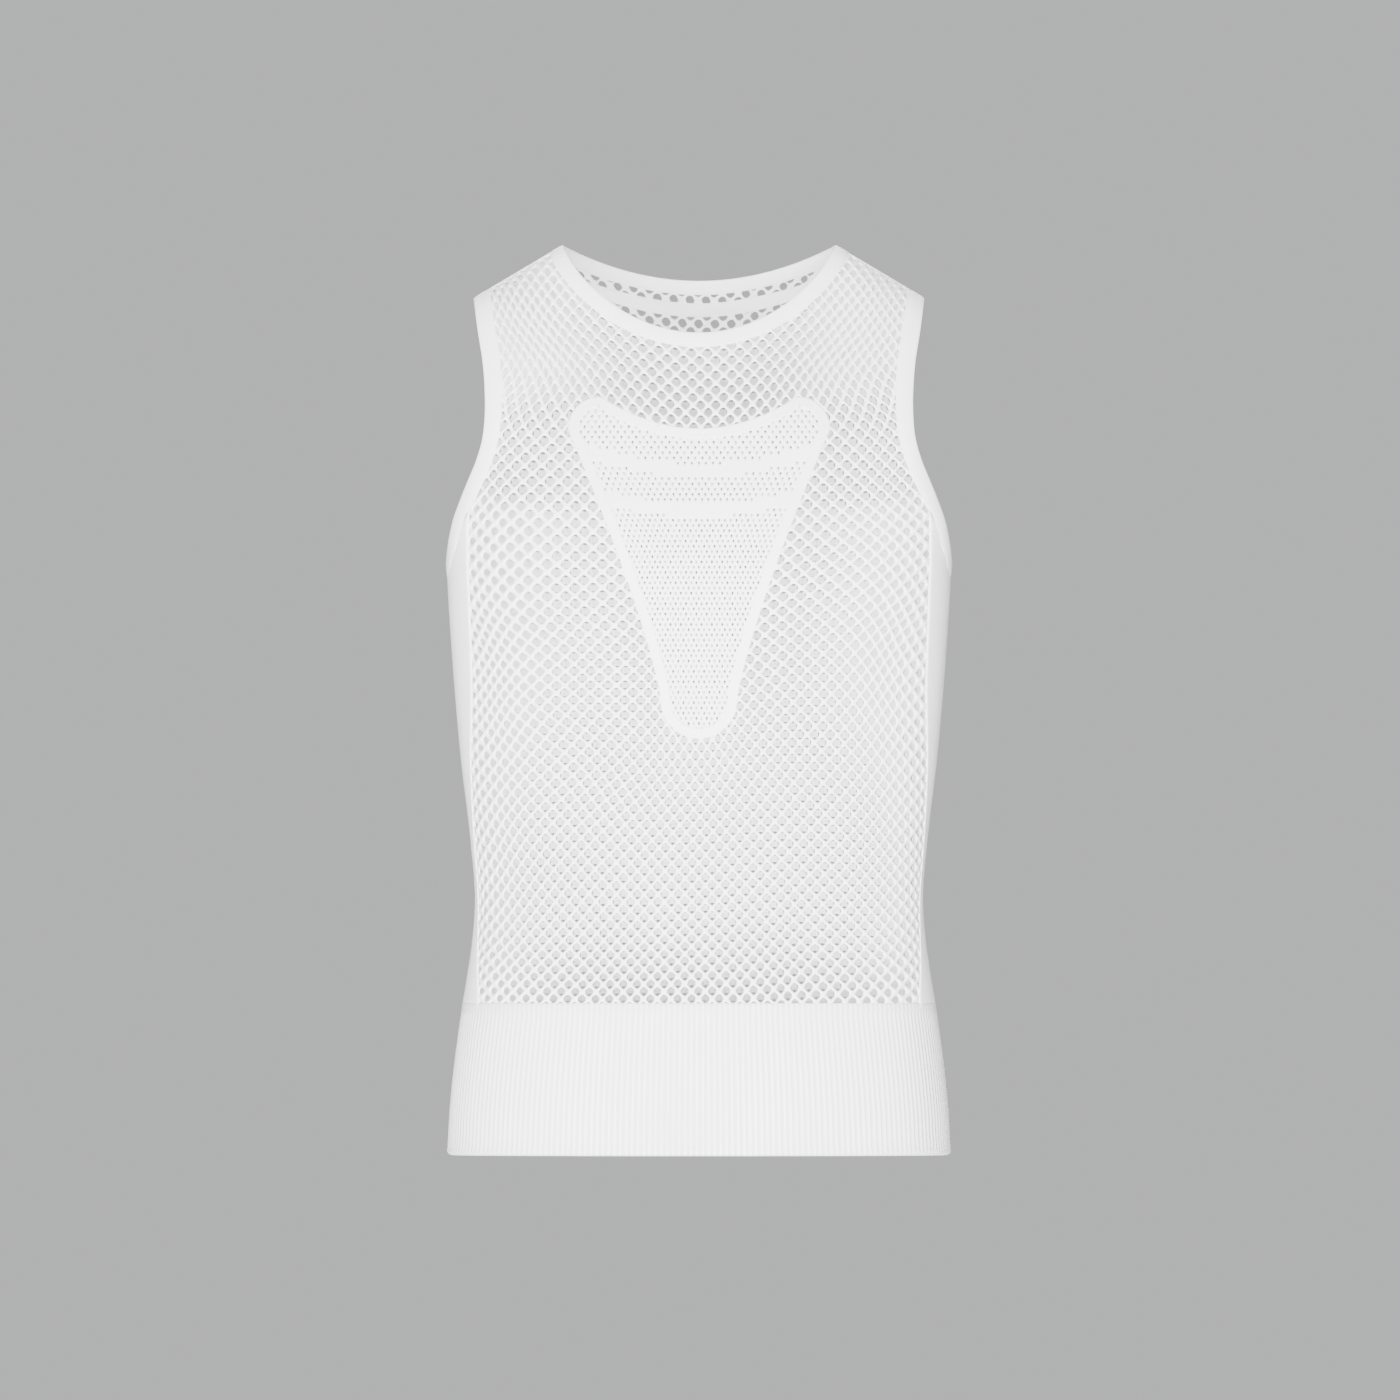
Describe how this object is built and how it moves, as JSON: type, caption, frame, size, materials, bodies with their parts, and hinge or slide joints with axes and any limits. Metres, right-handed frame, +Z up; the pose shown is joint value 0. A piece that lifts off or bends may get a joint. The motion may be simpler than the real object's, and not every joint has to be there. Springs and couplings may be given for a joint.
{
  "type": "sleeveless base layer",
  "caption": "Sleeveless sports base layer in its worn, hollow shape: net knit body, plain side strips and bindings, breastbone panel and ribbed waist band.",
  "frame": {"origin": "between the shoulders, level with the middle of the shoulder seams, where the wearer holds the garment up", "axes": "+Z up, -Y the way the wearer faces, +X the wearer's left"},
  "size_m": [0.3496, 0.2195, 0.6296],
  "materials": {
    "net_knit": "matt white net knit",
    "plain_knit": "matt white fine plain knit",
    "binding": "matt white close knit",
    "rib_knit": "matt white ribbed knit"
  },
  "bodies": {
    "root": {"front": "net_knit", "back": "net_knit", "chest_panel": "plain_knit", "side_panel_left": "plain_knit", "side_panel_right": "plain_knit", "neckband": "binding", "armband_left": "binding", "armband_right": "binding", "hem_band": "rib_knit"}
  },
  "joints": []
}
